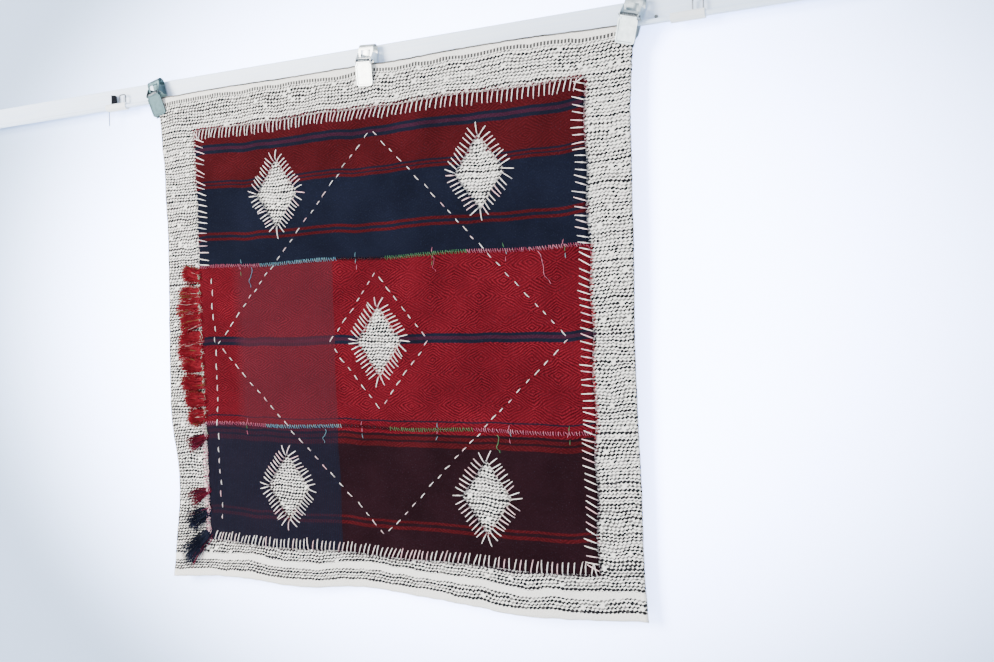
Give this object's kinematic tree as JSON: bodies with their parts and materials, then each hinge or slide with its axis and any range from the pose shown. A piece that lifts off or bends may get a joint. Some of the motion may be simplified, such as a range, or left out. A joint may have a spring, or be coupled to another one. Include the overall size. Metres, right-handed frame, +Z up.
{
  "type": "woven wall hanging on a clip rail",
  "caption": "Hand-woven cream cloth with striped blanket strips, diamond windows and a fringe, hung by spring clips from a rod on a wall batten.",
  "frame": {"origin": "on the batten's back face, at half its height, over the middle of the cloth", "axes": "+X along the rail to the viewer's right, +Y into the wall, +Z up; the cloth faces -Y"},
  "size_m": [1.5, 0.031, 0.789],
  "materials": {
    "batten_paint": "white painted softwood",
    "rod_paint": "white satin paint on steel",
    "screw_steel": "dark steel",
    "holder_plastic": "white moulded plastic",
    "loop_steel": "bright wire",
    "tab_plastic": "black moulded plastic",
    "clip_steel": "zinc plated spring steel",
    "ground_cotton": "hand-woven cream cotton with rows of black weft",
    "navy_wool": "striped blanket cloth, navy and crimson",
    "red_wool": "diamond twill blanket cloth, red with navy lines",
    "dark_wool": "striped blanket cloth, navy and maroon with red lines",
    "fringe_red_wool": "loose red yarn ends",
    "fringe_dark_wool": "loose crimson and navy yarn ends",
    "white_thread": "soft white cotton yarn"
  },
  "bodies": {
    "root": {"rail_batten": "batten_paint", "rail_rod": "rod_paint", "rail_screw": "screw_steel", "rail_holder_left": "holder_plastic", "rail_holder_right": "holder_plastic", "rail_loop_left": "loop_steel", "rail_loop_right": "loop_steel", "rail_tab": "tab_plastic", "rail_drop_wire": "loop_steel", "clip_left_strap": "clip_steel", "clip_left_jaw": "clip_steel", "clip_left_pin": "screw_steel", "clip_middle_strap": "clip_steel", "clip_middle_jaw": "clip_steel", "clip_middle_pin": "screw_steel", "clip_right_strap": "clip_steel", "clip_right_jaw": "clip_steel", "clip_right_pin": "screw_steel", "ground_cloth": "ground_cotton", "strip_top": "navy_wool", "strip_middle": "red_wool", "strip_bottom": "dark_wool", "fringe_red": "fringe_red_wool", "fringe_dark": "fringe_dark_wool"}
  },
  "joints": []
}
